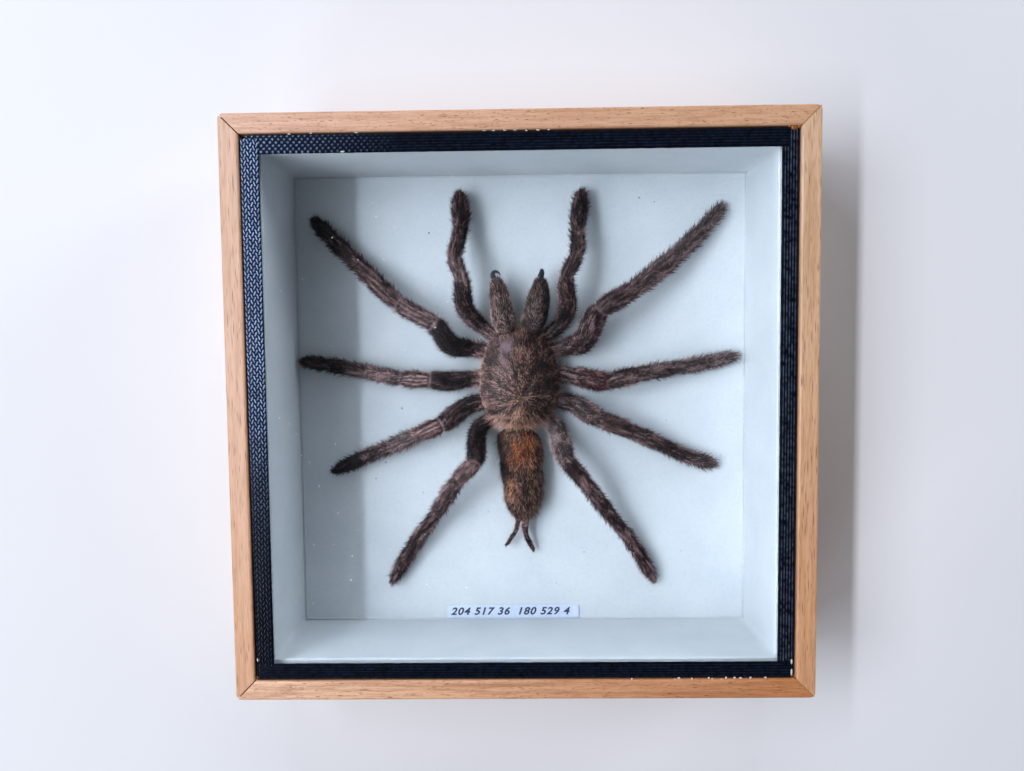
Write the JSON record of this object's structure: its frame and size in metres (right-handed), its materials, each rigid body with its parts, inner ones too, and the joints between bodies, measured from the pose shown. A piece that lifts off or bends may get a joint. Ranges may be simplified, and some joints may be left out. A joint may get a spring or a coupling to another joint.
{
  "type": "framed tarantula specimen",
  "caption": "Dried tarantula, legs spread, fixed in a shallow square glazed shadow box of mitred wood strips, white lined, bound with black tape.",
  "frame": {"origin": "middle of the box's underside, its back", "axes": "+Z out through the glass, +Y towards the box's top edge as it stands or hangs, +X to the right of someone looking in through the glass"},
  "size_m": [0.1524, 0.1524, 0.038],
  "materials": {
    "pale_wood": "planed, thin clear varnish",
    "backing_board": "matt grey-brown board",
    "white_card": "matt white paper on board",
    "clear_glass": "clear float glass",
    "black_binding": "black embossed binding tape, satin",
    "label_paper": "matt printed slip",
    "carapace_brown": "dry brown shell with short fur, half gloss on its bald spots",
    "dark_fur": "short dark brown fur over dry skin",
    "rusty_fur": "dark brown fur with a rusty patch",
    "grey_brown_fur": "short grey-brown fur",
    "black_claw": "glossy black horn-like chitin"
  },
  "bodies": {
    "root": {"frame_top": "pale_wood", "frame_right": "pale_wood", "frame_bottom": "pale_wood", "frame_left": "pale_wood", "back_panel": "backing_board", "mounting_board": "white_card", "liner_top": "white_card", "liner_right": "white_card", "liner_bottom": "white_card", "liner_left": "white_card", "glass": "clear_glass", "tape_top": "black_binding", "tape_right": "black_binding", "tape_bottom": "black_binding", "tape_left": "black_binding", "label": "label_paper", "cephalothorax": "carapace_brown", "chelicera_left": "grey_brown_fur", "chelicera_right": "grey_brown_fur", "fang_left": "black_claw", "fang_right": "black_claw", "pedipalp_left": "dark_fur", "pedipalp_right": "dark_fur", "leg_1_left": "dark_fur", "leg_2_left": "dark_fur", "leg_3_left": "dark_fur", "leg_4_left": "dark_fur", "leg_1_right": "dark_fur", "leg_2_right": "dark_fur", "leg_3_right": "dark_fur", "leg_4_right": "dark_fur", "abdomen": "rusty_fur", "spinneret_left": "dark_fur", "spinneret_right": "dark_fur"}
  },
  "joints": []
}
